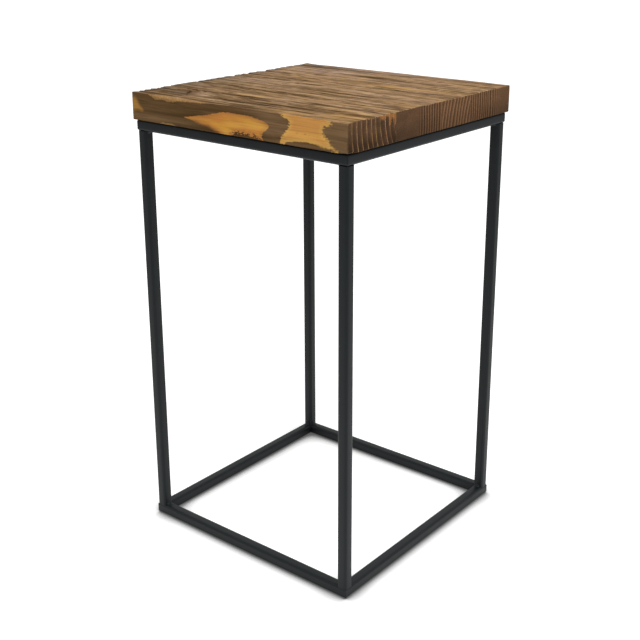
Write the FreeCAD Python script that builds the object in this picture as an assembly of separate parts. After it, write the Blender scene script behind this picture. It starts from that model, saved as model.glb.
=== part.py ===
import FreeCAD, Part
import math
import os

# Plant stand: a top of edge-joined boards screwed to a welded frame of square steel tube.
# Millimetres, +Z up. The origin is on the floor, under the middle of the top.
# The boards run along X, and -Y is the front.

# Top
BOARD_LENGTH = 305.0
FRONT_BOARD_WIDTH = 79.0
MID_FRONT_BOARD_WIDTH = 84.0
MID_BACK_BOARD_WIDTH = 57.0
BACK_BOARD_WIDTH = 85.0
BOARD_THICKNESS = 31.0
BOARD_EASE = 0.8  # chamfer along every arris of a board

# Frame
FRAME_HEIGHT = 499.0  # floor to the underside of the boards
TOP_OVERHANG = 2.5  # of the boards, past the rings on every side
TUBE = 12.7  # outer width of the square tube
TUBE_WALL = 1.6
TUBE_CORNER = 3.3  # outer corner radius of the tube
LEG_INSET = 0.5  # leg faces behind the outer faces of the rings

# Weld beads, one on each inner face of a leg at both ends
BEAD_LEG = 3.0  # height and reach of a bead
BEAD_LENGTH = 6.0  # along the flat of the leg's face
BEAD_HOLLOW = 0.4  # how far the bead's face sinks below a straight chamfer

# Countersunk wood screws, up through the side rails into the boards
SCREW_DIAMETER = 3.0
SCREW_LENGTH = 30.0
SCREW_TIP = 4.0  # length of the point
SCREW_HEAD_DIAMETER = 5.8
RECESS_SPAN = 3.0  # tip to tip of the cross recess
RECESS_WIDTH = 0.7
RECESS_DEPTH = 1.3
HOLE_CLEARANCE = 0.3  # radial, screw to the holes in the rail
SEAT_CLEARANCE = 0.05  # radial, screw head to its countersink
PILOT_CLEARANCE = 0.1  # radial, screw to its hole in the board
PILOT_END = 1.0  # hole left past the screw's point

BOARD_WIDTHS = {
    "top_board_front": FRONT_BOARD_WIDTH,
    "top_board_mid_front": MID_FRONT_BOARD_WIDTH,
    "top_board_mid_back": MID_BACK_BOARD_WIDTH,
    "top_board_back": BACK_BOARD_WIDTH,
}
TOP_DEPTH = sum(BOARD_WIDTHS.values())
RING_X = BOARD_LENGTH - 2 * TOP_OVERHANG
RING_Y = TOP_DEPTH - 2 * TOP_OVERHANG
LEG_LENGTH = FRAME_HEIGHT - 2 * TUBE
LEG_X = RING_X / 2 - LEG_INSET - TUBE / 2
LEG_Y = RING_Y / 2 - LEG_INSET - TUBE / 2
SCREW_X = RING_X / 2 - TUBE / 2

V = FreeCAD.Vector
ORIGIN = V(0, 0, 0)
UP = V(0, 0, 1)


def placed(shape, x, y, z):
    shape.translate(V(x, y, z))
    return shape


def rounded_square(side, corner):
    """Face in the XY plane, centred on the origin, with round corners."""
    half = side / 2
    flat = half - corner
    bulge = flat + corner * math.sqrt(0.5)
    edges = []
    for quarter in range(4):
        line = Part.LineSegment(V(half, -flat, 0), V(half, flat, 0)).toShape()
        arc = Part.Arc(V(half, flat, 0), V(bulge, bulge, 0), V(flat, half, 0)).toShape()
        for edge in (line, arc):
            edge.rotate(ORIGIN, UP, 90 * quarter)
            edges.append(edge)
    return Part.Face(Part.Wire(edges))


def tube(length):
    """Upright square tube from z = 0."""
    run = V(0, 0, length)
    bore = rounded_square(TUBE - 2 * TUBE_WALL, TUBE_CORNER - TUBE_WALL)
    return rounded_square(TUBE, TUBE_CORNER).extrude(run).cut(bore.extrude(run))


def rail(length):
    """Rail along X, mitred at both ends, its outer face on y = 0 and its underside on z = 0."""
    shape = tube(length)
    shape.rotate(ORIGIN, V(0, 1, 0), 90)
    shape.translate(V(-length / 2, TUBE / 2, TUBE / 2))
    outer = length / 2
    inner = outer - TUBE
    plan = [V(-outer, 0, 0), V(outer, 0, 0), V(inner, TUBE, 0), V(-inner, TUBE, 0), V(-outer, 0, 0)]
    mitres = Part.Face(Part.makePolygon(plan)).extrude(V(0, 0, TUBE))
    return shape.common(mitres)


def ring(z):
    """The four rails of a ring whose underside is at z, by side."""
    places = {
        "front": (RING_X, 0, V(0, -RING_Y / 2, z)),
        "back": (RING_X, 180, V(0, RING_Y / 2, z)),
        "right": (RING_Y, 90, V(RING_X / 2, 0, z)),
        "left": (RING_Y, -90, V(-RING_X / 2, 0, z)),
    }
    rails = {}
    for side, (length, turn, place) in places.items():
        rails[side] = rail(length)
        rails[side].rotate(ORIGIN, UP, turn)
        rails[side].translate(place)
    return rails


def weld_bead(rise):
    """Fillet bead on a leg's face x = 0 and a rail's face z = 0, rising or hanging by the sign of rise."""
    end_y = -BEAD_LENGTH / 2
    middle = BEAD_LEG / 2 - BEAD_HOLLOW
    root = V(0, end_y, 0)
    toe = V(BEAD_LEG, end_y, 0)
    crest = V(0, end_y, rise * BEAD_LEG)
    outline = [
        Part.LineSegment(root, toe).toShape(),
        Part.Arc(toe, V(middle, end_y, rise * middle), crest).toShape(),
        Part.LineSegment(crest, root).toShape(),
    ]
    return Part.Face(Part.Wire(outline)).extrude(V(0, BEAD_LENGTH, 0))


def weld_beads(face_z, rise):
    """Beads on the inner faces of the legs, where these meet the face of a ring at face_z."""
    beads = []
    for side_x in (-1, 1):
        for side_y in (-1, 1):
            along_front = (90 + 90 * side_x, side_x * (LEG_X - TUBE / 2), side_y * LEG_Y)
            along_side = (-90 * side_y, side_x * LEG_X, side_y * (LEG_Y - TUBE / 2))
            for turn, x, y in (along_front, along_side):
                bead = weld_bead(rise)
                bead.rotate(ORIGIN, UP, turn)
                beads.append(placed(bead, x, y, face_z))
    return Part.makeCompound(beads)


def screw():
    """Screw with the flat of its head on z = 0 and its point up."""
    head = SCREW_HEAD_DIAMETER / 2
    core = SCREW_DIAMETER / 2
    profile = [
        V(0, 0, 0),
        V(head, 0, 0),
        V(core, 0, head - core),
        V(core, 0, SCREW_LENGTH - SCREW_TIP),
        V(0, 0, SCREW_LENGTH),
        V(0, 0, 0),
    ]
    shape = Part.Face(Part.makePolygon(profile)).revolve(ORIGIN, UP, 360)
    for turn in (0, 90):
        corner = V(-RECESS_SPAN / 2, -RECESS_WIDTH / 2, 0)
        slot = Part.makeBox(RECESS_SPAN, RECESS_WIDTH, RECESS_DEPTH, corner)
        slot.rotate(ORIGIN, UP, turn)
        shape = shape.cut(slot)
    return shape


def screw_hole():
    """Countersunk hole through both walls of a rail whose underside is z = 0."""
    mouth = SCREW_HEAD_DIAMETER / 2 + SEAT_CLEARANCE
    countersink = Part.makeCone(mouth, 0, mouth)
    return Part.makeCylinder(SCREW_DIAMETER / 2 + HOLE_CLEARANCE, TUBE).fuse(countersink)


def pilot_hole():
    """Blind hole up into a board whose underside is z = 0."""
    depth = SCREW_LENGTH - TUBE + PILOT_END
    return Part.makeCylinder(SCREW_DIAMETER / 2 + PILOT_CLEARANCE, depth)


def board(width, front_y):
    """Board of the given width whose front edge is at front_y, with its pilot holes."""
    corner = V(-BOARD_LENGTH / 2, front_y, FRAME_HEIGHT)
    shape = Part.makeBox(BOARD_LENGTH, width, BOARD_THICKNESS, corner)
    shape = shape.makeChamfer(BOARD_EASE, shape.Edges)
    for x in (-SCREW_X, SCREW_X):
        shape = shape.cut(placed(pilot_hole(), x, front_y + width / 2, FRAME_HEIGHT))
    return shape


top_ring_z = FRAME_HEIGHT - TUBE
nodes = {}

screws = []
top_rails = ring(top_ring_z)
front_y = -TOP_DEPTH / 2
for name, width in BOARD_WIDTHS.items():
    nodes[name] = board(width, front_y)
    screw_y = front_y + width / 2
    for side, x in (("left", -SCREW_X), ("right", SCREW_X)):
        hole = placed(screw_hole(), x, screw_y, top_ring_z)
        top_rails[side] = top_rails[side].cut(hole)
        screws.append(placed(screw(), x, screw_y, top_ring_z))
    front_y += width
nodes["top_screws"] = Part.makeCompound(screws)

for side, shape in top_rails.items():
    nodes["top_rail_" + side] = shape
for side, shape in ring(0).items():
    nodes["bottom_rail_" + side] = shape

for depth_name, side_y in (("front", -1), ("back", 1)):
    for width_name, side_x in (("left", -1), ("right", 1)):
        leg = placed(tube(LEG_LENGTH), side_x * LEG_X, side_y * LEG_Y, TUBE)
        nodes[f"leg_{depth_name}_{width_name}"] = leg

nodes["top_weld_beads"] = weld_beads(top_ring_z, -1)
nodes["bottom_weld_beads"] = weld_beads(TUBE, 1)

os.makedirs("parts", exist_ok=True)
for name, shape in nodes.items():
    shape.exportStep(f"parts/{name}.step")
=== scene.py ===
import math

import bmesh
import bpy
import numpy as np
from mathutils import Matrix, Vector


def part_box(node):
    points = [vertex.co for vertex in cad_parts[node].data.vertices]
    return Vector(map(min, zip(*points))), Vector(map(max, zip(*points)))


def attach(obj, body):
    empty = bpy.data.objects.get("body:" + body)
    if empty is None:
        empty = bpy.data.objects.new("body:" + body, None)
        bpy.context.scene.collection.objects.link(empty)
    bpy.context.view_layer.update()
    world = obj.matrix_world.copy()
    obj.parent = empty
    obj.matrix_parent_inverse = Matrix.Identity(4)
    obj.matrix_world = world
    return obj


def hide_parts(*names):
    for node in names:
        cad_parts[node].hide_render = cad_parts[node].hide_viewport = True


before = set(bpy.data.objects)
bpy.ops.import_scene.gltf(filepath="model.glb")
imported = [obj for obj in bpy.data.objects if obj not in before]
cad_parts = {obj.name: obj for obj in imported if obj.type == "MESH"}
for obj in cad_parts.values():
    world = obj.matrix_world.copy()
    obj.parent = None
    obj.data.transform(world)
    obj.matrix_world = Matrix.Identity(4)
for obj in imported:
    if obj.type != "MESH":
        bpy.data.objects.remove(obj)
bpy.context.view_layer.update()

# Plant stand: four brushed and stained boards on a black tube frame, on a white studio floor.
# Meshes are worked out in millimetres in the frame's own axes and turned into metres at the end.
# The boards run from left to right along X, and the front is at the low end of Y.

MM = 0.001
BOARDS = ["top_board_front", "top_board_mid_front", "top_board_mid_back", "top_board_back"]
RAILS = [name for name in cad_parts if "_rail_" in name]
LEGS = [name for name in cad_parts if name.startswith("leg_")]


def box_mm(node):
    """Lowest and highest corner of a node in mm."""
    low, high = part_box(node)
    return np.array(low) / MM, np.array(high) / MM


TOP_LOW = box_mm(BOARDS[0])[0]
TOP_HIGH = box_mm(BOARDS[-1])[1]
TOP_SIZE = TOP_HIGH - TOP_LOW
PLAN = np.array((1, 1, 0))  # drops the height of a point
ALONG = np.array((1, 0, 0))  # keeps only its place along the grain
ACROSS = np.array((0, 1, 0))  # keeps only its place across it

# Board meshes
GRAIN_STEP = 1.5  # grid along the grain
CROSS_STEP = 0.75  # grid across it
EDGE_LINES = (0.0, 0.25, 0.5, 0.8, 1.2, 1.8, 2.6, 3.6, 4.8)  # finer grid lines beside every arris
FACING = (0.35, 0.85)  # tilt over which one face of a board changes into the next
JOINT_ROUND = 0.3  # arris radius where two boards meet
OUTER_ROUND = 0.8  # arris radius round the outside of the top
LEFT_ROUND = 0.3  # along the upper arris of the left end
CORNER_ROUND = 0.6  # at the upright corners of the top
WORN_CORNER = 2.2  # at the one at the front right
WORN_FOOT = 4.4  # at the lower end of that one
LEAST_ROUND = 0.25
CHIP_ROUND = 2.4  # added along the chip in the front arris
CHIP_START = (28, 44)  # mm from the left end over which that chip begins
CHIP_END = (122, 90)  # and over which it ends
HOLLOW = 0.75  # depth to which the soft wood between two rings is brushed out
TORN = 0.6  # depth of torn flecks
FIBRE = 0.12  # depth of the fine fibres
WORKED = 8.0  # how far below the top its brushing still moves the sides
OUTSIDE = -20.0  # mm inside an outline, for points that lie nowhere near it

# Growth rings of each board: the pith as mm behind the board's front edge and mm above its top, the spacing,
# the radius of the first ring, from where to where behind the front edge the rings show on the end grain, as
# thin lines (1) or broad bands (0), and how red the end is at its front and back.
RINGS = {
    "top_board_front": ((128, -3), 7.75, 122, (-2, 82), 1.0, (0.25, 0.0)),
    "top_board_mid_front": ((-420, -15), 4.6, 3, (38, 94), 0.0, (0.3, 0.8)),
    "top_board_mid_back": ((226, -56), 5.8, 4, (-9, 90), 0.3, (1.0, 1.0)),
    "top_board_back": ((-380, -12), 4.4, 1, (-9, 60), 0.0, (1.0, 0.3)),
}

# Frame pieces
CORNER_STEPS = 6  # mesh steps round a corner of the tube
TUBE_CORNER = 3.3  # outer corner radius of the tube
ROW_SPACING = 24  # mesh rows along a tube
END_ROWS = (0, 0.08, 0.2, 0.45, 0.8, 1.2, 1.8, 3.0, 6.0)  # closer rows beside its ends
GROUND = 1.6  # radius to which the outer corners of a ring are ground
SEAM = 0.12  # depth of the hairline left along a ground mitre weld
SEAM_REACH = 0.2  # half width of that hairline
BOARD_PAINTED_SHADE = (3.0, 1.0)  # mm below the boards over which the ring passes into their shade; the coat there is painted near black as painted shade
SHARP = math.radians(40)  # edges sharper than this aren't smoothed
BEAD_LENGTH = 6.4
BEAD_HOLLOW = 0.315  # how far a bead's face sinks below a straight chamfer, both across and up
BEAD_PITCH = 1.5  # of the ripples along a bead
BEAD_RIPPLE = 0.05  # their height as a share of the bead's reach
BEAD_END = 0.35  # share of the reach left at the ends of a bead
BEAD_ROWS = 21  # mesh rows along a bead
BEAD_STEPS = 5  # mesh steps round it
HEAD_RADIUS = 2.95  # of the countersinks for the screw heads
HOLE_BELOW = 0.3  # how far the countersink's cone starts below the rail
HOLE_STEPS = 32  # mesh steps round a countersink

# Brushed-out grooves in the top: from and to as shares of its length from the left, place as a share of its
# depth from the front, then half width and depth in mm.
GROOVES = [
    (0.24, 0.66, 0.088, 3.4, 1.0),
    (0.31, 0.58, 0.155, 3.1, 1.1),
    (0.30, 0.55, 0.180, 2.8, 0.9),
    (0.05, 0.29, 0.185, 2.8, 1.2),
    (-0.13, 0.13, 0.135, 2.8, 1.1),
    (0.01, 0.21, 0.032, 2.8, 1.0),
    (0.42, 0.82, 0.118, 2.6, 1.0),
    (0.50, 0.88, 0.064, 2.4, 0.9),
    (0.36, 0.62, 0.042, 2.4, 0.9),
    (0.55, 0.93, 0.152, 2.6, 0.9),
    (0.59, 1.01, 0.215, 2.5, 0.8),
    (0.83, 1.13, 0.238, 2.2, 0.9),
    (-0.08, 0.67, 0.333, 2.8, 1.2),
    (0.33, 0.56, 0.330, 5.0, 0.9),
    (0.87, 1.13, 0.313, 2.2, 0.7),
    (0.29, 0.49, 0.540, 2.8, 0.9),
    (0.15, 0.30, 0.570, 2.5, 1.0),
    (-0.13, 0.21, 0.615, 3.1, 1.2),
    (0.14, 0.43, 0.610, 2.5, 1.0),
    (0.39, 0.71, 0.620, 2.5, 1.2),
    (0.59, 0.83, 0.630, 2.2, 1.0),
    (0.77, 1.13, 0.642, 2.5, 0.9),
    (0.19, 0.39, 0.665, 2.8, 0.9),
    (-0.13, 0.23, 0.720, 3.4, 1.3),
    (0.74, 1.13, 0.770, 2.1, 0.9),
    (0.33, 0.83, 0.826, 3.1, 0.7),
    (-0.13, 0.67, 0.945, 4.3, 0.5),
]

# Finer grooves scattered over the top
FINE_COUNT = 80
FINE_SEED = 12

# Grooves that run out over the left end of the top, as shares of its depth from the front: from and to, and
# depth in mm at the steep far side
LEFT_NOTCHES = [
    (0.010, 0.036, 1.0), (0.036, 0.061, 1.0), (0.061, 0.091, 0.8), (0.095, 0.125, 1.0),
    (0.135, 0.155, 0.5), (0.165, 0.194, 0.7), (0.310, 0.331, 0.4), (0.345, 0.372, 0.4),
    (0.377, 0.405, 0.4), (0.411, 0.438, 0.4), (0.443, 0.472, 0.4), (0.508, 0.542, 1.3),
    (0.556, 0.588, 0.4), (0.597, 0.624, 0.9), (0.633, 0.672, 0.6), (0.680, 0.729, 1.5),
    (0.737, 0.768, 0.4), (0.768, 0.785, 0.9), (0.800, 0.821, 0.4), (0.894, 0.909, 0.6),
    (0.943, 0.966, 0.5),
]
LEFT_REACH = (26.0, 4.0)  # how far those reach inward, and how far at their full depth

# Grooves that run out over the right end: share of the depth from the front, half width and depth in mm
RIGHT_NOTCHES = [
    (0.189, 2.6, 0.4), (0.248, 2.2, 0.8), (0.326, 2.6, 0.4), (0.470, 2.2, 0.4), (0.533, 4.6, 0.5),
    (0.582, 2.4, 0.5), (0.618, 3.0, 0.4), (0.664, 3.4, 0.5), (0.715, 5.4, 0.7), (0.777, 2.6, 0.5),
    (0.855, 3.4, 0.4), (0.906, 2.4, 0.3),
]
RIGHT_REACH = 7.0  # how far those reach inward

# Torn knot in the front board, as shares of the top's length and depth: its middle, its reach, and the crack
# round it with the half width of each stretch in mm
KNOT = (0.145, 0.155, 0)
KNOT_REACH = (0.085, 0.045)
KNOT_EYE = 22.0  # mm by which the rings swing out round the knot
KNOT_DEPTH = 0.5
CRACK_DEPTH = 0.7
CRACK = [
    (0.195, 0.048, 0.7), (0.201, 0.080, 1.6), (0.172, 0.120, 2.6), (0.146, 0.160, 3.0),
    (0.156, 0.190, 2.6), (0.200, 0.188, 1.6), (0.255, 0.176, 0.7), (0.300, 0.172, 0.0),
]

# Figure on the front edge of the top, in mm from its left end and mm below its top
FLAME = [
    (82.5, 19.5), (92, 17.6), (101, 15.9), (113, 14.0), (121.5, 12.0), (131.5, 9.7), (140, 7.9),
    (150.5, 7.2), (161, 7.6), (173, 7.6), (182, 8.3), (190, 9.5), (198.5, 11.6), (203.5, 14.8),
    (201, 18.4), (196, 22), (193.5, 26), (193, 36), (150, 36), (133, 29.6), (125, 27.2),
    (118, 24.8), (109, 24.0), (97, 21.6),
]
FLAME_BITE = [
    (148, 40), (152.5, 29.4), (156.6, 27.2), (163, 26.0), (169, 26.0), (177, 27.2), (187.5, 28.6),
    (193, 30.2), (197, 40),
]
GLOW = [
    (210, -6), (216.5, 0), (224.5, 3.6), (230.8, 7.3), (230.2, 12.4), (226.7, 16.5), (221, 23.7),
    (218.4, 29.2), (217, 38), (298, 38), (292.5, 30), (289, 28.2), (283.3, 23.7), (280, 19.6),
    (275, 16.5), (273, 11.4), (275, 7.3), (282.3, 5.2), (284.5, 0), (288, -6),
]
GLOW_BITE = [
    (218, 40), (224.6, 30), (235, 26.8), (249, 25.3), (263.5, 25.7), (274, 27.4), (286.5, 29.6), (294, 40),
]
LEFT_PATCH = [
    (-6, 5), (2, 5.2), (6.2, 6.4), (10.4, 11.4), (13.5, 15.5), (17.5, 18.6), (15, 20), (10.4, 19.2),
    (4.2, 20), (-6, 23),
]
TOP_CHIP = [
    (29, -3), (34.5, 3.8), (39, 5.2), (49.5, 4.6), (57.5, 5.6), (66, 5.2), (72, 3.8), (80, 3.4),
    (95, 2.4), (113, 1.4), (132, -3),
]
BOTTOM_CHIP = [(40, 34), (46, 29.5), (55, 28.9), (66, 29.6), (72, 34)]
SPECKS = (234, 272, 17.4)  # dark specks in a row: from, to, and mm below the top
SPECK_HEIGHT = 0.55  # half height of that row

# Resin-coloured patch at the top of the front board's right end, in mm from the front and mm below the top
END_PATCH = [
    (51, -4), (53, 4.0), (58, 4.6), (62, 2.6), (66, 4.0), (67.5, 11), (70, 10.5), (71, 5.5),
    (75, 6.0), (77, 12), (82, 12), (82, -4),
]

# Where the right end's top arris is worn pale, as shares of the depth from the front
RIGHT_WEAR = [(0.50, 0.56), (0.585, 0.61), (0.645, 0.68), (0.71, 0.80)]

# Patches of another tone on the top: middle as shares of its length and depth, half length and half width in
# mm, and strength
TONES = {
    "gold": [
        (0.69, 0.683, 50, 6, 0.7), (0.92, 0.710, 30, 4, 0.5), (0.41, 0.207, 30, 2.6, 0.6),
        (0.29, 0.660, 24, 6, 0.5), (0.97, 0.370, 14, 6, 0.45), (0.96, 0.240, 16, 5, 0.5),
        (0.93, 0.070, 30, 22, 0.5), (0.74, 0.035, 26, 9, 0.5),
    ],
    "rosy": [
        (0.12, 0.850, 60, 24, 0.9), (0.27, 0.860, 40, 20, 0.7), (0.26, 0.110, 9, 9, 0.9),
        (0.20, 0.500, 50, 22, 0.5), (0.55, 0.780, 40, 10, 0.5), (0.45, 0.965, 90, 12, 0.8),
    ],
    "aged": [
        (0.0, 0.5, 14, 400, 0.8), (0.04, 0.960, 50, 14, 1.0), (0.33, 0.945, 80, 7, 0.6),
        (0.04, 0.265, 26, 18, 0.45), (0.02, 0.130, 24, 12, 0.7), (0.15, 0.098, 17, 9, 0.6),
        (0.06, 0.400, 40, 30, 0.4),
    ],
    "shade": [
        (0.10, 0.120, 44, 30, 0.75), (0.42, 0.175, 40, 9, 0.9), (0.50, 0.155, 34, 4, 0.9),
        (0.45, 0.085, 56, 9, 0.9), (0.52, 0.430, 64, 20, 0.4), (0.25, 0.385, 80, 7, 0.5),
        (0.55, 0.830, 60, 7, 0.5), (0.68, 0.150, 60, 22, 0.7), (0.12, 0.420, 60, 26, 0.5),
        (0.30, 0.270, 90, 22, 0.65), (0.08, 0.600, 40, 24, 0.45), (0.95, 0.040, 50, 14, 0.4),
        (0.30, 0.430, 40, 20, 0.35), (0.55, 0.045, 60, 14, 0.7), (0.62, 0.125, 60, 24, 0.65),
        (0.07, 0.012, 34, 11, 1.0), (0.45, 0.345, 22, 14, 0.4), (0.64, 0.945, 44, 9, 0.5),
        (0.32, 0.070, 28, 16, 0.55), (0.55, 0.170, 24, 9, 0.7),
    ],
    "light": [
        (0.50, 0.555, 52, 14, 0.5), (0.66, 0.345, 40, 15, 0.4), (0.58, 0.660, 44, 12, 0.4),
        (0.94, 0.740, 30, 14, 0.5), (0.94, 0.090, 30, 28, 0.35), (0.245, 0.150, 11, 13, 0.7),
    ],
}

# Studio, in metres
SKY_LIGHT = 0.85
STUDIO_DIM = 0.25  # share of that light which comes from the photographer's side
VIEWER_SIDE = (0.62, -0.75, 0.22)  # direction of that side
VIEWER_CONE = (0.72, 0.95)  # cosine of the angle to it where the dimming starts, and where it is full
WALL_DIM = 0.58  # share of the light which comes from the walls
WALL_RISE = (-0.1, 0.7)  # height of a direction over which the walls pass into the ceiling
FLOOR_HALF = 15.0
FLOOR_GLOW = 0.5  # seen only by the camera and in reflections
FLOOR_WHITE = 0.92
FLOOR_FAR = 0.46  # how white the floor is away from the object, as its light and reflections see it
FLOOR_FADE = (0.3, 1.9)  # distances from the object over which it changes to that
PAINTED_SHADOW_REACH = 0.04  # how far the painted contact shadow beside a foot of the object reaches over the floor
PAINTED_SHADOW_OPEN = (0.5, 0.95)  # open share of the sky at which the floor's painted shadow is darkest, and at which the floor is white
PAINTED_SHADOW_LEVEL = 0.14  # how white the floor looks right beside a foot, in its painted shadow
PAINTED_SHADOW_MIRRORED = 0.35  # and how white it is there in reflections, in its painted shadow
KEY_PLACE = (1.3, -0.9, 3.0)
KEY_TARGET = (0, 0, 0.35)
KEY_SIZE = 1.8
KEY_POWER = 50

# The photograph's viewpoint, as fitted to the top and the two rings
CAMERA_SENSOR = 36
CAMERA_LENS = 61.459
CAMERA_SHIFT = (-0.01788, -0.08225)
CAMERA_PLACE = (0.78009, -0.96459, 0.72149)
CAMERA_TILT = 71.912  # degrees up from straight down
CAMERA_TURN = 38.59  # degrees to the left of straight ahead


# Noise and outlines


def fade(value, start, end):
    """0 before start and 1 after end, with a smooth change between."""
    part = np.clip((value - start) / (end - start), 0, 1)
    return part * part * (3 - 2 * part)


def lattice(x, y, z, seed):
    """A repeatable level from 0 to 1 for every whole-number point."""
    mixed = (x * 73856093) ^ (y * 19349663) ^ (z * 83492791) ^ (seed * 974711)
    mixed = ((mixed ^ (mixed >> 13)) * 1274126177) & 0xFFFFFFFF
    mixed = ((mixed ^ (mixed >> 15)) * 668265263) & 0xFFFFFFFF
    return ((mixed >> 8) & 0xFFFF) / 65535


def noise(points, cell, seed):
    """Smooth noise from -1 to 1 whose cells have the given size in mm along x, y and z."""
    scaled = points / np.array(cell, float)
    corner = np.floor(scaled).astype(np.int64)
    part = scaled - corner
    part = part * part * (3 - 2 * part)
    total = np.zeros(len(points))
    for step in np.ndindex(2, 2, 2):
        weight = np.prod(np.where(step, part, 1 - part), axis=1)
        total += weight * lattice(*(corner + step).T, seed)
    return 2 * total - 1


def rounded_outline(corners, steps=5):
    """Closed smooth curve through the corners."""
    here = np.array(corners, float)
    last = np.roll(here, 1, 0)
    ahead = np.roll(here, -1, 0)
    beyond = np.roll(here, -2, 0)
    runs = []
    for t in np.arange(steps) / steps:
        slope = (ahead - last) * t
        bend = (2 * last - 5 * here + 4 * ahead - beyond) * t**2
        twist = (3 * here - last - 3 * ahead + beyond) * t**3
        runs.append(here + (slope + bend + twist) / 2)
    return np.stack(runs, 1).reshape(-1, 2)


def gap_to(along, down, start, end):
    """Distance in mm to a straight line between two points."""
    run = end - start
    share = ((along - start[0]) * run[0] + (down - start[1]) * run[1]) / max(run @ run, 1e-9)
    share = np.clip(share, 0, 1)
    return np.hypot(along - start[0] - share * run[0], down - start[1] - share * run[1])


def inside_by(along, down, corners):
    """Distance in mm to a rounded outline, positive inside it."""
    curve = rounded_outline(corners)
    nearest = np.full(along.shape, 1e6)
    inside = np.zeros(along.shape, bool)
    for start, end in zip(curve, np.roll(curve, -1, 0)):
        run = end - start
        nearest = np.minimum(nearest, gap_to(along, down, start, end))
        crossing = (start[1] > down) != (end[1] > down)
        rise = run[1] if run[1] else 1e-9
        inside ^= crossing & (along < start[0] + (down - start[1]) * run[0] / rise)
    return np.where(inside, nearest, -nearest)


# Boards


def measured(points):
    """Distances in mm of points from the left end, the front and the upper face of the top."""
    return points[:, 0] - TOP_LOW[0], points[:, 1] - TOP_LOW[1], TOP_HIGH[2] - points[:, 2]


def grid_lines(length, step):
    """Grid positions from 0 to length, closer beside both ends."""
    inner = length - 2 * EDGE_LINES[-1]
    count = max(2, round(inner / step))
    middle = EDGE_LINES[-1] + inner * np.arange(1, count) / count
    near = np.array(EDGE_LINES)
    return np.concatenate([near, middle, length - near[::-1]])


def box_grid(low, high):
    """Points on the surface of a box, with finer lines beside its arrises, and its four-sided faces."""
    steps = (GRAIN_STEP, CROSS_STEP, CROSS_STEP)
    lines = [low[axis] + grid_lines(high[axis] - low[axis], steps[axis]) for axis in range(3)]
    shape = [len(line) for line in lines]
    shell = np.zeros(shape, bool)
    for axis in range(3):
        ends = [slice(None)] * 3
        ends[axis] = [0, -1]
        shell[tuple(ends)] = True
    number = np.full(shape, -1)
    number[shell] = np.arange(shell.sum())
    points = np.stack(np.meshgrid(*lines, indexing="ij"), -1)[shell]
    sheets = [
        (number[:, :, -1], False), (number[:, :, 0], True),
        (number[:, 0, :], False), (number[:, -1, :], True),
        (number[-1, :, :], False), (number[0, :, :], True),
    ]
    faces = []
    for sheet, turned in sheets:
        loop = [sheet[:-1, :-1], sheet[1:, :-1], sheet[1:, 1:], sheet[:-1, 1:]]
        quads = np.stack(loop, -1).reshape(-1, 4)
        faces.append(quads[:, ::-1] if turned else quads)
    return points, np.concatenate(faces)


def near_joint(points, joints, start, end):
    """1 at the joints between the boards, 0 beyond start mm from them."""
    near = np.zeros(len(points))
    for joint in joints:
        near = np.maximum(near, fade(np.abs(points[:, 1] - joint), start, end))
    return near


def arris_radius(points, joints):
    """Radius of the arris beside each point: small at a joint, uneven and worn round the outside."""
    along, behind, down = measured(points)
    half_length, _, half_thick = TOP_SIZE / 2
    radius = OUTER_ROUND + 0.4 * noise(points, (23, 17, 60), 3)
    radius += 0.3 * noise(points, (7, 6, 60), 4)
    near_top = fade(down, 9, 5)
    chip = fade(along, *CHIP_START) * fade(along, *CHIP_END)
    radius += fade(behind, 8, 4) * near_top * CHIP_ROUND * chip
    radius += fade(along, 9, 5) * fade(behind, 5, 9) * near_top * (LEFT_ROUND - radius)
    upright = fade(np.abs(down - half_thick), half_thick - 3, half_thick - 6)
    corner = np.hypot(TOP_SIZE[0] - along, behind)
    corner_round = CORNER_ROUND + (WORN_CORNER - CORNER_ROUND) * fade(corner, 14, 8)
    radius += upright * (corner_round - radius)
    foot = fade(corner, 16, 6) * fade(down, TOP_SIZE[2] - 18, TOP_SIZE[2] - 6)
    radius += foot * (WORN_FOOT - radius)
    inner = fade(np.abs(points[:, 0]), half_length - 2, half_length - 9)
    radius += near_joint(points, joints, 7, 4) * inner * (JOINT_ROUND - radius)
    return np.clip(radius, LEAST_ROUND, WORN_FOOT)


def rounded_box(points, low, high, radius):
    """Points pulled in round the arrises, the outward direction at each, and how near an arris it is."""
    reach = radius[:, None]
    core = np.clip(points, low + reach, high - reach)
    away = points - core
    length = np.linalg.norm(away, axis=1, keepdims=True)
    outward = away / length
    edge = (1 - np.abs(outward).max(1)) / (1 - math.sqrt(0.5))
    return core + outward * reach, outward, np.clip(edge, 0, 1)


def fine_grooves():
    """Rows like those of GROOVES, scattered at random with more of them at the front."""
    dice = np.random.default_rng(FINE_SEED)
    rows = []
    for _ in range(FINE_COUNT):
        start = dice.uniform(-0.2, 0.9)
        end = start + dice.uniform(0.12, 0.45)
        place = dice.uniform(0.0, 1.0) ** 1.35
        rows.append((start, end, place, dice.uniform(0.9, 2.2), dice.uniform(0.25, 0.9)))
    return rows


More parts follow.
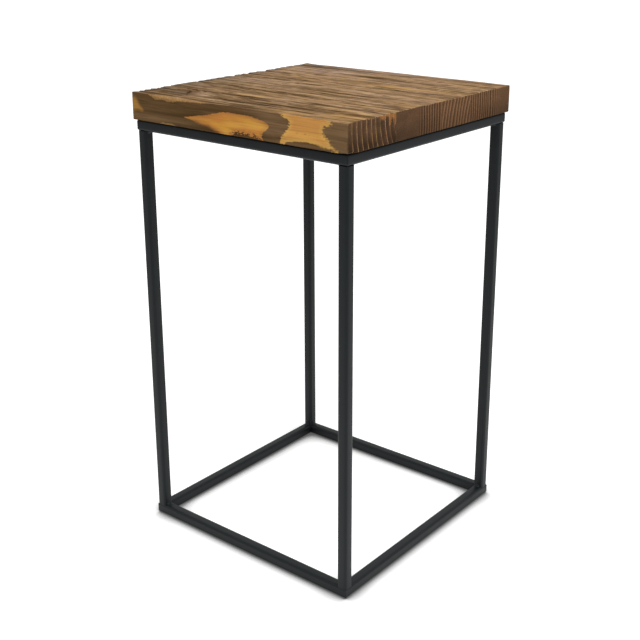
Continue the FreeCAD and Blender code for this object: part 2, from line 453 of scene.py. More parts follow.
def grooves(points):
    """Depth in mm of the brushed-out grooves of the top, and how dark they are."""
    along, behind, _ = measured(points)
    plan = points * PLAN
    depth = np.zeros(len(points))
    shade = np.zeros(len(points))
    length = along / TOP_SIZE[0]
    wander = 1.5 * noise(plan, (55, 400, 1), 11) + 0.6 * noise(plan, (16, 400, 1), 12)
    ragged = np.clip(0.85 + 0.5 * noise(plan, (36, 6, 1), 13), 0.3, 1.1)
    for start, end, place, half_width, deep in GROOVES + fine_grooves():
        off = behind - place * TOP_SIZE[1] - wander
        run = min(0.12, 0.4 * (end - start))
        taper = fade(length, start, start + run) * fade(length, end, end - run)
        across = np.exp(-((off / half_width / (0.25 + 0.75 * taper)) ** 2))
        cut = across * taper * ragged
        depth = np.maximum(depth, deep * cut)
        shade = np.maximum(shade, min(deep, 0.95) * fade(cut, 0.08, 0.45))
    back = behind / TOP_SIZE[1]
    at_left = fade(along, *LEFT_REACH)
    for start, end, deep in LEFT_NOTCHES:
        ramp = np.clip((back - start) / (end - start), 0, 1) * fade(back, end + 0.003, end)
        depth = np.maximum(depth, deep * ramp * at_left)
    at_right = fade(TOP_SIZE[0] - along, RIGHT_REACH, 0)
    for place, half_width, deep in RIGHT_NOTCHES:
        across = np.exp(-(((back - place) * TOP_SIZE[1] / half_width) ** 4))
        depth = np.maximum(depth, deep * across * at_right)
    return depth, shade


def brushed(points, count):
    """Depth in mm of the brushing between the rings, torn flecks and fine fibres, and how dark it is."""
    plan = points * PLAN
    soft = fade(0.5 - 0.5 * np.cos(2 * math.pi * count), 0.15, 1.0)
    patchy = np.clip(0.45 + 0.75 * noise(plan, (85, 15, 1), 42), 0, 1)
    torn = np.clip(1.4 * noise(plan, (48, 4.5, 1), 46) - 0.3, 0, 1)
    fibres = 0.5 + 0.5 * noise(plan, (34, 1.7, 1), 41)
    depth = HOLLOW * soft * patchy + TORN * torn + FIBRE * fibres
    return depth * fade(measured(points)[0], 0, 30), 0.4 * fade(torn, 0.1, 0.5)


def torn_knot(points):
    """Depth in mm of the torn hollow round the knot on the front board, and how dark it is."""
    along, behind, _ = measured(points)
    from_knot = np.hypot(
        (along / TOP_SIZE[0] - KNOT[0]) / KNOT_REACH[0], (behind / TOP_SIZE[1] - KNOT[1]) / KNOT_REACH[1]
    )
    hollow = fade(from_knot + 0.25 * noise(points, (14, 3, 30), 21), 1.0, 0.3)
    torn_x = along + 2.2 * noise(points, (7, 5, 30), 22)
    torn_y = behind + 1.6 * noise(points, (9, 5, 30), 23)
    crack = np.zeros(len(points))
    for here, ahead in zip(CRACK, CRACK[1:]):
        gap = gap_to(torn_x, torn_y, here[:2] * TOP_SIZE[:2], ahead[:2] * TOP_SIZE[:2])
        crack = np.maximum(crack, fade(gap, 1.3 * here[2], 0.4 * here[2]))
    return KNOT_DEPTH * hollow + CRACK_DEPTH * crack, np.clip(0.4 * hollow + 0.95 * crack, 0, 1)


def worked_top(points, count):
    """Depth in mm to which the top is worked, and how dark that leaves it."""
    brush_depth, brush_dark = brushed(points, count)
    groove_depth, groove_dark = grooves(points)
    knot_depth, knot_dark = torn_knot(points)
    depth = np.maximum(brush_depth, groove_depth) + knot_depth
    return depth, np.maximum.reduce([brush_dark, groove_dark, knot_dark])


def ring_count(points, low, high, pith, spacing, first):
    """Growth rings counted outward from the first one, at each point of a board."""
    across = points[:, 1] - low[1] - pith[0]
    rise = points[:, 2] - high[2] - pith[1]
    wander = 2.4 * noise(points * ALONG, (150, 1, 1), 31) + 0.7 * noise(points, (60, 22, 22), 32)
    wander += 0.18 * noise(points, (12, 3, 3), 33) + 1.3 * noise(points * ACROSS, (1, 13, 1), 34)
    from_knot = (points - TOP_LOW) / TOP_SIZE - KNOT
    eye = KNOT_EYE * np.exp(-((from_knot[:, 0] / 0.07) ** 2) - (from_knot[:, 1] / 0.028) ** 2)
    return (np.hypot(across, rise) + wander + eye - first) / spacing


def front_marks(points):
    """On the front edge: mm inside the light figure and inside a worn patch, and how dark each point is."""
    along, _, down = measured(points)
    outlines = (FLAME, FLAME_BITE, GLOW, GLOW_BITE, LEFT_PATCH, TOP_CHIP, BOTTOM_CHIP)
    flame, flame_bite, glow, glow_bite, *rest = (inside_by(along, down, outline) for outline in outlines)
    left_patch, *chips = rest
    light = [np.minimum(flame, -flame_bite), np.minimum(glow, -glow_bite), left_patch]
    start, end, drop = SPECKS
    off = down - drop - 0.5 * noise(points * ALONG, (9, 1, 1), 61)
    specks = np.exp(-((off / SPECK_HEIGHT) ** 2)) * fade(along, start, start + 6) * fade(along, end, end - 6)
    broken = fade(noise(points * ALONG, (2.6, 1, 1), 62), 0.0, 0.4)
    return np.maximum.reduce(light), np.maximum.reduce(chips), 0.6 * specks * broken


def right_wear(points):
    """How far, in mm, each point lies inside a pale, worn stretch of the right end's top arris."""
    along, behind, down = measured(points)
    back = behind / TOP_SIZE[1]
    inside = np.full(len(points), OUTSIDE)
    for start, end in RIGHT_WEAR:
        within = np.minimum(back - start, end - back) * TOP_SIZE[1]
        inside = np.maximum(inside, np.minimum(within, 2.0))
    from_arris = np.hypot(TOP_SIZE[0] - along, down)
    return np.minimum(inside, 0.7 + 0.9 * noise(points, (4, 4, 4), 53) - from_arris)


def arris_wear(points, edge, at_joint):
    """How far, in mm, each point lies inside the uneven wear of the arrises. Two stretches are kept dark."""
    along, behind, down = measured(points)
    rubbed = noise(points, (21, 15, 60), 51) + 0.5 * noise(points, (6, 5, 60), 52)
    low_edge = fade(down, TOP_SIZE[2] - 5, TOP_SIZE[2] - 3)
    front_left = fade(along, 36, 26) * fade(behind, 8, 3)
    front_right = fade(np.hypot(TOP_SIZE[0] - along, behind), 9, 5) * fade(down, 2, 5)
    kept_dark = np.maximum(front_left, front_right)
    return edge * 2.2 - 1.6 + 0.9 * rubbed - 1.2 * at_joint - 1.5 * low_edge - 3.0 * kept_dark


def tone(points, patches):
    """Strength from 0 to 1 of some patches of the top."""
    total = np.zeros(len(points))
    along, behind, _ = measured(points)
    for middle, back, half_length, half_width, strength in patches:
        off_length = (along - middle * TOP_SIZE[0]) / half_length
        off_width = (behind - back * TOP_SIZE[1]) / half_width
        total = np.maximum(total, strength * np.exp(-(off_length**2) - off_width**2))
    return total


def front_paleness(points):
    """How pale, from 0 to 1, the dark parts of the front edge are: more so towards the right."""
    along, _, down = measured(points)
    pale = 0.25 * noise(points, (60, 40, 9), 48) + 0.5 * fade(down, 18, 27) * fade(along, 140, 60)
    pale += 1.3 * fade(along, 150, 225) * (1 - 0.75 * fade(down, 21, 25) * fade(along, 295, 280))
    return np.clip(pale, 0, 1)


def end_light(points):
    """Factor for the colour of the ends: darker towards the underside, lightest at the back."""
    _, behind, down = measured(points)
    light = 1.22 - 0.34 * fade(down, 8, 28) - 0.14 * fade(behind, 90, 40) * fade(down, 16, 26)
    return light * (1 + 0.33 * fade(behind, 225, 285) * fade(down, 32, 8))


def figure(node, raw, points, outward):
    """Light figure and worn patches of the front board, in mm inside their outlines, and their edges."""
    along, behind, down = measured(points)
    under_flame = fade(along, 92, 104) * fade(along, 152, 128) * fade(down, 18, 22)
    bitten = fade(along, 142, 150) * fade(along, 198, 190) * fade(down, 20, 24)
    under_glow = fade(along, 222, 230) * fade(along, 286, 278) * fade(down, 21, 24)
    right_side = fade(along, 262, 272)
    left_side = fade(along, 212, 218) * fade(along, 240, 232)
    marks = {
        "amber": np.full(len(points), OUTSIDE),
        "worn": np.full(len(points), OUTSIDE),
        "dark": np.zeros(len(points)),
        "soft": 0.5 + 2.2 * under_flame + 2.4 * fade(along, 40, 10) + 1.2 * right_side,
        "lemon": 0.8 * fade(along, 40, 20),
        "tan": fade(along, 206, 226),
        "bright": 0.42 * fade(along, 130, 165) * fade(down, 13, 18) * fade(down, 24, 19),
        "fray": 1.2 + (4.5 * right_side + 3.0 * left_side) * (1 - 0.85 * under_glow) + 7.0 * bitten,
    }
    if node == BOARDS[0]:
        front = (outward[:, 1] < -0.2) & (raw[:, 1] < TOP_LOW[1] + 6)
        marks["amber"][front], marks["worn"][front], marks["dark"][front] = front_marks(points[front])
        right = outward[:, 0] > 0.7
        marks["amber"][right] = inside_by(behind[right], down[right], END_PATCH)
        marks["fray"][right] = 3.0
        marks["soft"][right] = 1.2
    return marks


def board(node, material):
    """Brushed board in place of a plain one, with its grain in the mesh."""
    low, high = box_mm(node)
    raw, faces = box_grid(low, high)
    joints = [y for y in (low[1], high[1]) if TOP_LOW[1] + 1 < y < TOP_HIGH[1] - 1]
    smooth, outward, edge = rounded_box(raw, low, high, arris_radius(raw, joints))
    up = fade(outward[:, 2], *FACING)
    side = fade(np.abs(outward[:, 1]), *FACING)
    end = fade(np.abs(outward[:, 0]), *FACING)
    at_joint = side * near_joint(smooth, joints, 0.5, 0.05)

    pith, spacing, first, shown, thin, red = RINGS[node]
    count = ring_count(smooth, low, high, pith, spacing, first)
    back = smooth[:, 1] - low[1]
    lines = fade(back, shown[0], shown[0] + 8) * fade(back, shown[1], shown[1] - 10)
    worked, dark = worked_top(smooth, count)
    sawn = 0.12 * (0.5 - 0.5 * np.cos(2 * math.pi * count)) * lines
    sawn += 0.05 * (0.5 + 0.5 * noise(smooth, (3, 2, 9), 43))
    planed = 0.11 + 0.05 * noise(smooth, (34, 1.7, 1.7), 47) + 0.06 * noise(smooth, (70, 20, 9), 44)
    ragged = 0.1 * edge * (1 + noise(smooth, (4, 2.2, 8), 45))
    depth = (end * sawn + side * planed + ragged) * (1 - at_joint)
    points = smooth - outward * depth[:, None]
    points[:, 2] -= worked * fade(high[2] - points[:, 2], WORKED, 0)

    marks = figure(node, raw, points, outward)
    wear = [marks["worn"], arris_wear(points, edge, at_joint), right_wear(points)]
    marks["worn"] = np.maximum.reduce(wear)
    dark = np.maximum(dark, 0.7 * near_joint(points, joints, 0.9, 0.3))
    marks["dark"] = np.maximum(marks["dark"], dark * fade(outward[:, 2], 0.2, 0.7))
    marks["pale"] = front_paleness(points)
    marks["lift"] = end_light(points)
    marks["ring"] = count + 5.0 * side * noise(points, (150, 30, 22), 35)
    marks["plain"] = np.full(len(points), 0.0 if node == BOARDS[0] else 1.0)
    marks["lines"] = lines * thin
    marks["bands"] = lines * (1 - 0.7 * thin)
    marks["red"] = red[0] + (red[1] - red[0]) * back / (high[1] - low[1])
    marks["up"] = up
    marks["end"] = end
    for name, patches in TONES.items():
        marks[name] = tone(points, patches)
    piece = new_piece(node + "_grained", points, faces, material, marks)
    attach(piece, "root")
    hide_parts(node)
    return piece


def new_piece(name, points, faces, material, marks=()):
    """Mesh object from points in mm, with its named marks kept on the vertices for the material."""
    mesh = bpy.data.meshes.new(name)
    mesh.from_pydata((np.asarray(points) * MM).tolist(), [], [list(face) for face in faces])
    for mark, values in dict(marks).items():
        layer = mesh.attributes.new(mark, "FLOAT", "POINT")
        layer.data.foreach_set("value", np.asarray(values, np.float32))
    mesh.shade_smooth()
    mesh.materials.append(material)
    piece = bpy.data.objects.new(name, mesh)
    bpy.context.scene.collection.objects.link(piece)
    return piece


# Frame


def tube_outline(side, corner):
    """Points round a square with round corners, from 0 to side, and how far round a corner each lies."""
    points = []
    rounds = []
    for quarter in range(4):
        middle_x = side - corner if quarter in (0, 3) else corner
        middle_y = side - corner if quarter in (0, 1) else corner
        for step in range(CORNER_STEPS + 1):
            angle = math.radians(90 * quarter + 90 * step / CORNER_STEPS)
            points.append((middle_x + corner * math.cos(angle), middle_y + corner * math.sin(angle)))
            rounds.append(1 - abs(2 * step / CORNER_STEPS - 1))
    return np.array(points), np.array(rounds)


def skin(rows, count):
    """Faces of a closed tube of rows of count points each, with flat ends."""
    faces = []
    for row in range(rows - 1):
        for step in range(count):
            ahead = (step + 1) % count
            here = row * count
            faces.append((here + step, here + ahead, here + count + ahead, here + count + step))
    faces.append(tuple(range(count))[::-1])
    faces.append(tuple((rows - 1) * count + step for step in range(count)))
    return faces


def end_rows(length):
    """Places along a tube measured from its middle, closer together beside its ends."""
    near = np.array(END_ROWS)
    inner = length / 2 - near[-1]
    count = max(2, round(2 * inner / ROW_SPACING))
    middle = np.linspace(-inner, inner, count + 1)[1:-1]
    return np.concatenate([near - length / 2, middle, length / 2 - near[::-1]])


def ground_rail(node, material):
    """Rail of a ring: round-cornered tube with mitred ends, its outer corners ground round."""
    low, high = box_mm(node)
    along = 0 if high[0] - low[0] > high[1] - low[1] else 1
    across = 1 - along
    at_low_side = low[across] + high[across] < 0
    half = (high[along] - low[along]) / 2
    side = high[2] - low[2]
    outline, rounds = tube_outline(side, TUBE_CORNER)
    points = []
    for place in end_rows(2 * half):
        from_end = half - abs(place)
        sunk = SEAM * max(0.0, 1 - from_end / SEAM_REACH) / (side / 2)
        for depth, height in outline:
            mitre = max(depth, GROUND * (1 - math.sqrt(0.5)))
            reach = (half - mitre) * (1 - from_end / half)
            past = max(reach - (half - GROUND), 0.0)
            ground = GROUND - math.sqrt(max(GROUND**2 - past**2, 0))
            depth = max(depth, ground)
            depth += sunk * (side / 2 - depth)
            height += sunk * (side / 2 - height)
            spot = [0.0, 0.0, low[2] + height]
            spot[along] = (low[along] + high[along]) / 2 + math.copysign(reach, place)
            spot[across] = low[across] + depth if at_low_side else high[across] - depth
            points.append(spot)
    rows = len(points) // len(outline)
    return frame_piece(node, points, skin(rows, len(outline)), material, np.tile(rounds, rows))


def leg(node, material):
    """Upright tube between the rings, its foot filled out and ground flush to the lower ring's round edge."""
    low, high = box_mm(node)
    ring_high = box_mm("bottom_rail_right")[1]
    outline, rounds = tube_outline(high[0] - low[0], TUBE_CORNER)
    middle = (low[2] + high[2]) / 2
    places = end_rows(high[2] - low[2])
    points = []
    for place in places:
        for x, y in outline:
            spot = np.array((low[0] + x, low[1] + y, middle + place))
            if place == places[0]:
                inset = np.clip(ring_high[:2] - np.abs(spot[:2]), 0, TUBE_CORNER).min()
                spot[2] -= TUBE_CORNER - math.sqrt(TUBE_CORNER**2 - (TUBE_CORNER - inset) ** 2)
            points.append(spot)
    rows = len(places)
    return frame_piece(node, points, skin(rows, len(outline)), material, np.tile(rounds, rows))


def bead(corner, away, rise, size):
    """Rippled fillet weld in a corner, reaching away from a leg and rising or hanging along it."""
    run = np.array((-away[1], away[0], 0.0))
    points = []
    for row in range(BEAD_ROWS):
        share = 2 * row / (BEAD_ROWS - 1) - 1
        along = share * BEAD_LENGTH / 2
        reach = size * (BEAD_END + (1 - BEAD_END) * math.sqrt(max(0.0, 1 - share**4)))
        reach *= 1 + BEAD_RIPPLE * math.cos(2 * math.pi * along / BEAD_PITCH)
        spine = corner + run * along
        points.append(spine)
        for step in range(BEAD_STEPS + 1):
            part = step / BEAD_STEPS
            hollow = BEAD_HOLLOW * reach / size * 4 * part * (1 - part)
            out = max(reach * (1 - part) - hollow, 0)
            up = max(reach * part - hollow, 0)
            points.append(spine + away * out + np.array((0, 0, rise * up)))
    return points, skin(BEAD_ROWS, BEAD_STEPS + 2)


def weld_beads(node, material):
    """Fillet welds on the inner faces of the legs, at the upper or the lower ring."""
    upper = node.startswith("top")
    low, high = box_mm(node)
    size = high[2] - low[2]
    points = []
    faces = []
    for name in LEGS:
        leg_low, leg_high = box_mm(name)
        middle = (leg_low + leg_high) / 2
        half = (leg_high - leg_low) / 2
        for axis in (0, 1):
            away = np.zeros(3)
            away[axis] = -np.sign(middle[axis])
            corner = middle + away * half
            corner[2] = leg_high[2] if upper else leg_low[2]
            spots, loops = bead(corner, away, -1 if upper else 1, size)
            faces += [tuple(index + len(points) for index in loop) for loop in loops]
            points += spots
    return frame_piece(node, points, faces, material, np.zeros(len(points)))


def frame_piece(node, points, faces, material, rounds):
    """Coated piece in place of a plain one, with normals turned outward, its round corners marked, and the
    strip just under the boards marked for painted shade.
    """
    # painted shade: the strip of ring just under the boards, where their shade falls, is marked for a
    # near-black coat
    board_painted_shade = fade(TOP_LOW[2] - np.array(points)[:, 2], *BOARD_PAINTED_SHADE)
    marks = {"round": rounds * (1 - board_painted_shade), "board_painted_shade": board_painted_shade}
    piece = new_piece(node + "_coated", points, faces, material, marks)
    turned = bmesh.new()
    turned.from_mesh(piece.data)
    bmesh.ops.recalc_face_normals(turned, faces=turned.faces)
    turned.to_mesh(piece.data)
    turned.free()
    piece.data.set_sharp_from_angle(angle=SHARP)
    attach(piece, "root")
    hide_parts(node)
    return piece


def drilled(piece, node):
    """Countersinks for the screw heads in the underside of a side rail, under the middle of every board."""
    low, high = box_mm(node)
    reach = HEAD_RADIUS + HOLE_BELOW
    points = []
    faces = []
    for name in BOARDS:
        board_low, board_high = box_mm(name)
        middle = np.array(((low[0] + high[0]) / 2, (board_low[1] + board_high[1]) / 2, low[2]))
        start = len(points)
        for step in range(HOLE_STEPS):
            angle = 2 * math.pi * step / HOLE_STEPS
            points.append(middle + (reach * math.cos(angle), reach * math.sin(angle), -HOLE_BELOW))
        points.append(middle + (0, 0, HEAD_RADIUS))
        rim = list(range(start, start + HOLE_STEPS))
        faces.append(rim[::-1])
        for here, ahead in zip(rim, rim[1:] + rim[:1]):
            faces.append((here, ahead, start + HOLE_STEPS))
    cutter = new_piece(node + "_cutter", points, faces, piece.data.materials[0])
    cut = piece.modifiers.new("countersinks", "BOOLEAN")
    cut.operation = "DIFFERENCE"
    cut.solver = "EXACT"
    cut.object = cutter
    ready = piece.evaluated_get(bpy.context.evaluated_depsgraph_get())
    piece.data = bpy.data.meshes.new_from_object(ready)
    piece.modifiers.clear()
    bpy.data.objects.remove(cutter)
    piece.data.set_sharp_from_angle(angle=SHARP)


# Materials


def srgb(red, green, blue):
    """Linear colour for 8-bit values."""
    levels = []
    for level in (red / 255, green / 255, blue / 255):
        levels.append(level / 12.92 if level <= 0.04045 else ((level + 0.055) / 1.055) ** 2.4)
    return (*levels, 1.0)


def tint(red, green=None, blue=None):
    """Factor for a colour, the same for red, green and blue where only one is given."""
    return (red, red if green is None else green, red if blue is None else blue, 1.0)


class Graph:
    """A node tree, with short ways to add nodes. A mark kept on the vertices is given by its name."""

    def __init__(self, tree):
        self.tree = tree

    def put(self, socket, value):
        """Set a socket, or link it to another one or to a mark."""
        if isinstance(value, str):
            value = self.add("Attribute", attribute_name=value).outputs["Fac"]
        if isinstance(value, bpy.types.NodeSocket):
            self.tree.links.new(value, socket)
        else:
            socket.default_value = value

    def add(self, kind, values=(), **settings):
        """A node with some settings, and values for its first inputs."""
        node = self.tree.nodes.new("ShaderNode" + kind)
        for name, setting in settings.items():
            setattr(node, name, setting)
        for socket, value in zip(node.inputs, values):
            self.put(socket, value)
        return node

    def math(self, kind, *values):
        return self.add("Math", values, operation=kind).outputs[0]

    def times(self, first, second):
        return self.math("MULTIPLY", first, second)

    def add_scaled(self, base, value, scale):
        """base plus value times scale."""
        return self.math("MULTIPLY_ADD", value, scale, base)

    def spread(self, value, start, end, low=0.0, high=1.0, kind="SMOOTHSTEP"):
        """A value taken from the range start to end over to the range low to high."""
        return self.add("MapRange", (value, start, end, low, high), interpolation_type=kind).outputs[0]

    def blend(self, share, first, second):
        """A number between two others."""
        node = self.add("Mix")
        for index, value in ((0, share), (2, first), (3, second)):
            self.put(node.inputs[index], value)
        return node.outputs[0]

    def rays(self, kind):
        """1 for rays of one kind, 0 for others."""
        return self.add("LightPath").outputs[f"Is {kind} Ray"]

    def background_rays(self, low, high):
        """High for rays that see the background, directly, mirrored or through glass, and low for others."""
        level = self.math("MAXIMUM", self.rays("Camera"), self.rays("Glossy"))
        level = self.math("MAXIMUM", level, self.rays("Transmission"))
        return self.spread(level, 0.0, 1.0, low, high, "LINEAR")


class Look(Graph):
    """A node material for a piece."""

    def __init__(self, name):
        self.material = bpy.data.materials.new(name)
        self.material.use_nodes = True
        super().__init__(self.material.node_tree)
        self.shader = self.tree.nodes["Principled BSDF"].inputs
        self.place = self.add("TexCoord").outputs["Object"]

    def noise(self, cell, detail, shift):
        """Noise from 0 to 1 with cells of the given size in mm along x, y and z."""
        mapping = self.add("Mapping", [self.place])
        mapping.inputs["Scale"].default_value = [1 / (MM * size) for size in cell]
        mapping.inputs["Location"].default_value = (shift, shift * 0.7, shift * 1.3)
        node = self.add("TexNoise", [mapping.outputs[0]])
        node.inputs["Scale"].default_value = 1.0
        node.inputs["Detail"].default_value = detail
        return node.outputs[0]

    def ramp(self, value, *stops):
        """Colour ramp through (position, colour) stops."""
        node = self.add("ValToRGB", [value])
        elements = node.color_ramp.elements
        while len(elements) < len(stops):
            elements.new(0.5)
        for element, (position, colour) in zip(elements, stops):
            element.position = position
            element.color = colour
        return node.outputs[0]

    def mix(self, share, first, second, kind="MIX"):
        """One colour over another."""
        node = self.add("Mix", data_type="RGBA", blend_type=kind)
        for index, value in ((0, share), (6, first), (7, second)):
            self.put(node.inputs[index], value)
        return node.outputs[2]

    def bump(self, height, distance, strength):
        """Fine relief of the given depth in mm."""
        node = self.add("Bump")
        for name, value in (("Height", height), ("Distance", distance * MM), ("Strength", strength)):
            self.put(node.inputs[name], value)
        self.put(self.shader["Normal"], node.outputs[0])


def stained_wood():
    """Stained, brushed softwood that reads the grain kept on the board meshes."""
    look = Look("stained_pine")
    fibre = look.noise((38, 1.1, 1.1), 5, 1.7)
    fleck = look.noise((24, 3.4, 3.4), 4, 7.9)
    thread = look.noise((150, 4.4, 4.4), 3, 4.4)
    streak = look.noise((130, 11, 7), 4, 5.1)
    blotch = look.noise((70, 26, 14), 3, 9.4)
    speck = look.noise((2.2, 1.3, 1.3), 3, 3.3)
    feather = look.math("SUBTRACT", look.noise((2.8, 1.2, 1.2), 3, 15.0), 0.5)
    grey_fibre = look.ramp(fibre, (0.28, tint(0.6, 0.58, 0.55)), (0.5, tint(1)), (0.72, tint(1.12)))

    base = look.mix("up", side_tones(look, streak), top_tones(look, streak, fleck, thread, blotch))
    base = look.mix("end", base, end_tones(look, blotch, speck))
    base = look.mix(0.75, base, grey_fibre, "MULTIPLY")
    base = light_figure(look, base, feather, blotch, grey_fibre)
    worn = look.spread(look.add_scaled("worn", feather, 3.0), -0.2, 0.6, 0.0, 0.85)
    base = look.mix(worn, base, look.ramp(speck, (0.35, srgb(140, 104, 64)), (0.65, srgb(174, 134, 84))))
    dark = look.times("dark", look.spread(fibre, 0.4, 0.62, 1.0, 0.35))
    look.put(look.shader["Base Color"], look.mix(dark, base, srgb(56, 36, 12)))

    look.put(look.shader["Roughness"], look.spread(fibre, 0.2, 0.8, 0.95, 0.8))
    look.shader["Specular IOR Level"].default_value = 0.03
    look.bump(look.add_scaled(fibre, speck, 0.5), 0.3, 0.6)
    return look.material


def light_figure(look, base, feather, blotch, grey_fibre):
    """The light figure over a base: honey on the left of the front, tan on the right, with frayed edges."""
    inside = look.add_scaled("amber", feather, look.times("fray", 2.0))
    amber = look.spread(inside, look.times("soft", -1.0), "soft")
    amber = look.times(amber, look.spread("end", 0.3, 0.8, 1.0, 0.5))
    honey = look.ramp(
        blotch, (0.34, srgb(205, 136, 66)), (0.5, srgb(214, 155, 68)), (0.68, srgb(220, 170, 83))
    )
    honey = look.mix(look.spread(inside, 0.2, 6.5), srgb(188, 126, 66), honey)
    tan = look.mix(look.spread(inside, 0.5, 6.0), srgb(215, 166, 90), srgb(209, 149, 81))
    honey = look.mix("tan", honey, tan)
    honey = look.mix("lemon", honey, srgb(158, 119, 60))
    honey = look.mix("bright", honey, srgb(236, 182, 92))
    honey = look.mix(0.5, honey, grey_fibre, "MULTIPLY")
    honey = look.mix("end", honey, srgb(196, 132, 72))
    return look.mix(amber, base, honey)


def side_tones(look, streak):
    """Colour of the long-grain edges: dark brown, paler towards the right, with the rings of a plain edge."""
    deep = look.ramp(streak, (0.3, srgb(73, 54, 31)), (0.5, srgb(91, 68, 41)), (0.7, srgb(108, 81, 52)))
    pale = look.ramp(streak, (0.3, srgb(106, 82, 57)), (0.5, srgb(125, 98, 68)), (0.7, srgb(139, 110, 79)))
    sides = look.mix("pale", deep, pale)
    late_wood = look.ramp(
        look.math("FRACT", "ring"),
        (0.0, tint(1.3, 1.28, 1.22)),
        (0.5, tint(1.05, 1.04, 1.02)),
        (0.9, tint(0.62, 0.6, 0.56)),
        (1.0, tint(1.3, 1.28, 1.22)),
    )
    return look.mix("plain", sides, look.mix(0.8, sides, late_wood, "MULTIPLY"))


def top_tones(look, streak, fleck, thread, blotch):
    """Colour of the brushed top: streaky brown with rosy, golden, light, shaded and aged patches."""
    tops = look.ramp(
        streak,
        (0.30, srgb(112, 87, 62)),
        (0.43, srgb(146, 117, 87)),
        (0.56, srgb(162, 131, 98)),
        (0.72, srgb(182, 151, 117)),
    )
    rosy = look.math("MAXIMUM", "rosy", look.spread(blotch, 0.45, 0.65, 0.0, 0.25))
    tops = look.mix(look.times(rosy, 0.8), tops, srgb(172, 148, 137))
    shaded = look.times("shade", look.spread(streak, 0.3, 0.6, 1.0, 0.7))
    tops = look.mix(shaded, tops, srgb(90, 67, 38))
    tops = look.mix("light", tops, srgb(190, 158, 121))
    grey = look.ramp(fleck, (0.4, srgb(82, 76, 69)), (0.6, srgb(114, 106, 98)))
    tops = look.mix("aged", tops, grey)
    late_wood = look.ramp(
        look.math("FRACT", "ring"),
        (0.0, tint(0.62, 0.58, 0.52)),
        (0.14, tint(1.05)),
        (0.55, tint(1.1)),
        (0.86, tint(0.95, 0.94, 0.92)),
        (1.0, tint(0.62, 0.58, 0.52)),
    )
    tops = look.mix(0.6, tops, late_wood, "MULTIPLY")
    mottle = look.noise((12, 6, 6), 3, 17.4)
    stain = look.ramp(mottle, (0.32, tint(0.70, 0.67, 0.62)), (0.5, tint(1)), (0.68, tint(1.22, 1.21, 1.18)))
    tops = look.mix(0.7, tops, stain, "MULTIPLY")
    hair = look.noise((40, 0.6, 0.6), 2, 11.3)
    tops = look.mix(look.spread(hair, 0.45, 0.33, 0.0, 0.5), tops, srgb(70, 48, 24))
    grit = look.times(look.spread(fleck, 0.44, 0.36), look.add_scaled(0.5, "shade", 0.4))
    tops = look.mix(grit, tops, srgb(76, 53, 28))
    tops = look.mix(look.spread(thread, 0.46, 0.38, 0.0, 0.72), tops, srgb(78, 54, 26))
    unshaded = look.add_scaled(1.0, "shade", -0.8)
    for grain, share in ((fleck, 0.4), (thread, 0.5)):
        lit = look.times(look.spread(grain, 0.55, 0.63, 0.0, share), unshaded)
        tops = look.mix(lit, tops, srgb(190, 154, 106))
    gold = look.times("gold", look.spread(fleck, 0.3, 0.6, 0.4, 1.0))
    return look.mix(gold, tops, srgb(186, 142, 80))


def end_tones(look, blotch, speck):
    """Colour of the end grain, with bands or broken pale lines along the rings."""
    wavering = look.add_scaled("ring", look.math("SUBTRACT", speck, 0.5), 0.10)
    ring = look.math("FRACT", wavering)
    brown = look.ramp(blotch, (0.32, srgb(64, 49, 34)), (0.5, srgb(78, 58, 42)), (0.68, srgb(92, 68, 50)))
    ends = look.mix("red", brown, srgb(107, 79, 57))
    ends = look.mix(1.0, ends, "lift", "MULTIPLY")
    late_wood = look.ramp(
        ring, (0.0, tint(1.9, 1.9, 1.85)), (0.25, tint(1.35)), (0.6, tint(0.5, 0.48, 0.45)), (1.0, tint(0.75))
    )
    ends = look.mix("bands", ends, late_wood, "MULTIPLY")
    line = look.ramp(
        ring,
        (0.0, tint(1)), (0.03, tint(0.4)), (0.08, tint(0)),
        (0.93, tint(0)), (0.975, tint(0.4)), (1.0, tint(1)),
    )
    broken = look.spread(look.noise((60, 9, 12), 2, 12.2), 0.35, 0.6, 0.35, 1.0)
    share = look.times(look.times(line, "lines"), broken)
    colour = look.ramp(
        look.noise((60, 14, 18), 1, 2.6),
        (0.4, srgb(216, 158, 104)), (0.5, srgb(226, 180, 140)), (0.6, srgb(214, 174, 96)),
    )
    return look.mix(look.times(share, 0.9), ends, colour)


def powder_coat():
    """Satin black powder coat: fine orange peel, uneven sheen, rubbed a little on the round corners, and
    painted shade that makes it near black and rougher just under the boards.
    """
    look = Look("black_powder_coat")
    peel = look.noise((0.8, 0.8, 0.8), 2, 2.2)
    cloud = look.noise((40, 40, 40), 3, 6.0)
    rub = look.spread(look.noise((9, 9, 30), 4, 8.0), 0.55, 0.75, 0.0, 0.35)
    rubbed = look.times(look.spread("round", 0.55, 1.0), rub)
    colour = look.ramp(cloud, (0.3, srgb(16, 21, 23)), (0.7, srgb(23, 28, 30)))
    # painted shade: near black where the ring lies in the boards' shade
    colour = look.mix("board_painted_shade", look.mix(rubbed, colour, srgb(50, 54, 56)), srgb(6, 7, 8))
    look.put(look.shader["Base Color"], colour)
    sheen = look.spread(cloud, 0.3, 0.7, 0.38, 0.48)
    look.put(look.shader["Roughness"], look.add_scaled(sheen, "board_painted_shade", 0.5))
    look.shader["Specular IOR Level"].default_value = 0.2
    look.bump(peel, 0.05, 0.5)
    return look.material


def zinc_plate():
    """Yellowed zinc on the screws, dulled in patches."""
    look = Look("zinc_plate")
    patch = look.noise((1.2, 1.2, 1.2), 3, 4.0)
    colour = look.ramp(patch, (0.3, srgb(150, 138, 112)), (0.7, srgb(196, 184, 150)))
    look.put(look.shader["Base Color"], colour)
    look.put(look.shader["Roughness"], look.spread(patch, 0.3, 0.7, 0.28, 0.45))
    look.shader["Metallic"].default_value = 1.0
    look.bump(patch, 0.03, 0.4)
    return look.material


# Studio


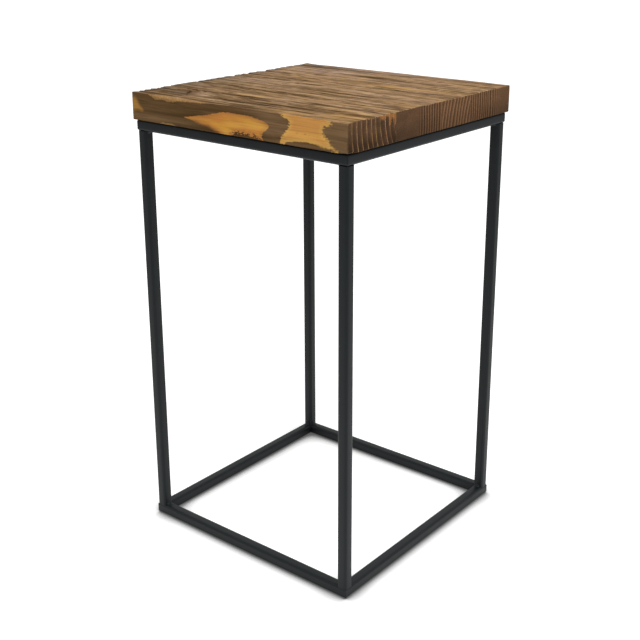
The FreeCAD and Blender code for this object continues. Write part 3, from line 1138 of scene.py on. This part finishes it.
def studio_floor():
    """White floor, darkened beside the feet by a painted shadow from ambient occlusion. Away from the object
    only the camera sees it at its full white.
    """
    half = FLOOR_HALF
    corners = [(-half, -half, 0), (half, -half, 0), (half, half, 0), (-half, half, 0)]
    mesh = bpy.data.meshes.new("floor")
    mesh.from_pydata(corners, [], [(0, 1, 2, 3)])
    floor = bpy.data.objects.new("floor", mesh)
    bpy.context.scene.collection.objects.link(floor)
    material = bpy.data.materials.new("white_floor")
    material.use_nodes = True
    graph = Graph(material.node_tree)
    graph.tree.nodes.clear()
    # painted shadow: the floor's colour and glow are darkened where ambient occlusion finds the object close
    # by
    open_sky = graph.add("AmbientOcclusion", samples=16)
    open_sky.inputs["Distance"].default_value = PAINTED_SHADOW_REACH
    seen, mirrored = (
        graph.spread(open_sky.outputs["AO"], *PAINTED_SHADOW_OPEN, darkest, FLOOR_WHITE, "LINEAR")
        for darkest in (PAINTED_SHADOW_LEVEL, PAINTED_SHADOW_MIRRORED)
    )
    distance = graph.add("VectorMath", [graph.add("TexCoord").outputs["Object"]], operation="LENGTH")
    far = graph.spread(distance.outputs["Value"], *FLOOR_FADE, FLOOR_WHITE, FLOOR_FAR, "LINEAR")
    white = graph.blend(graph.rays("Camera"), graph.math("MINIMUM", far, mirrored), seen)
    matt = graph.add("BsdfDiffuse", [white])
    glow = graph.add("Emission")
    graph.put(glow.inputs["Strength"], graph.times(white, graph.background_rays(0.0, FLOOR_GLOW)))
    both = graph.add("AddShader", (matt.outputs[0], glow.outputs[0]))
    graph.add("OutputMaterial", [both.outputs[0]])
    mesh.materials.append(material)


def studio_world():
    """White overhead, dimmer at the walls and where the photographer stands. The camera sees it all white."""
    world = bpy.data.worlds.new("studio")
    bpy.context.scene.world = world
    world.use_nodes = True
    graph = Graph(world.node_tree)
    sky = graph.tree.nodes["Background"].inputs
    sky["Color"].default_value = (1, 1, 1, 1)
    direction = graph.add("TexCoord").outputs["Generated"]
    facing = graph.add("VectorMath", (direction, VIEWER_SIDE), operation="DOT_PRODUCT").outputs["Value"]
    dim = graph.spread(facing, *VIEWER_CONE, 1.0, STUDIO_DIM)
    height = graph.add("SeparateXYZ", [direction]).outputs["Z"]
    walls = graph.spread(height, *WALL_RISE, WALL_DIM, 1.0)
    light = graph.times(graph.times(graph.background_rays(SKY_LIGHT, 1.0), dim), walls)
    graph.put(sky["Strength"], graph.blend(graph.rays("Camera"), light, 1.0))


def key_light():
    """Soft round lamp above, to the right of the camera."""
    lamp = bpy.data.lights.new("key", "AREA")
    lamp.shape = "DISK"
    lamp.size = KEY_SIZE
    lamp.energy = KEY_POWER
    box = bpy.data.objects.new("key", lamp)
    box.location = KEY_PLACE
    aim = np.array(KEY_TARGET) - np.array(KEY_PLACE)
    turn = math.atan2(aim[1], aim[0]) - math.pi / 2
    tilt = math.pi / 2 + math.atan2(aim[2], math.hypot(aim[0], aim[1]))
    box.rotation_euler = (tilt, 0, turn)
    bpy.context.scene.collection.objects.link(box)


def photo_camera():
    """The photograph's viewpoint."""
    camera = bpy.data.cameras.new("camera")
    camera.sensor_width = CAMERA_SENSOR
    camera.lens = CAMERA_LENS
    camera.shift_x, camera.shift_y = CAMERA_SHIFT
    viewer = bpy.data.objects.new("camera", camera)
    viewer.location = CAMERA_PLACE
    viewer.rotation_euler = (math.radians(CAMERA_TILT), 0, math.radians(CAMERA_TURN))
    bpy.context.scene.collection.objects.link(viewer)
    bpy.context.scene.camera = viewer


wood = stained_wood()
for node in BOARDS:
    board(node, wood)

black = powder_coat()
for node in RAILS:
    rail = ground_rail(node, black)
    if node in ("top_rail_left", "top_rail_right"):
        drilled(rail, node)
for node in LEGS:
    leg(node, black)
for node in ("top_weld_beads", "bottom_weld_beads"):
    weld_beads(node, black)

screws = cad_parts["top_screws"]
screws.data.materials.clear()
screws.data.materials.append(zinc_plate())

studio_floor()
studio_world()
key_light()
photo_camera()
bpy.context.scene.view_settings.view_transform = "Standard"
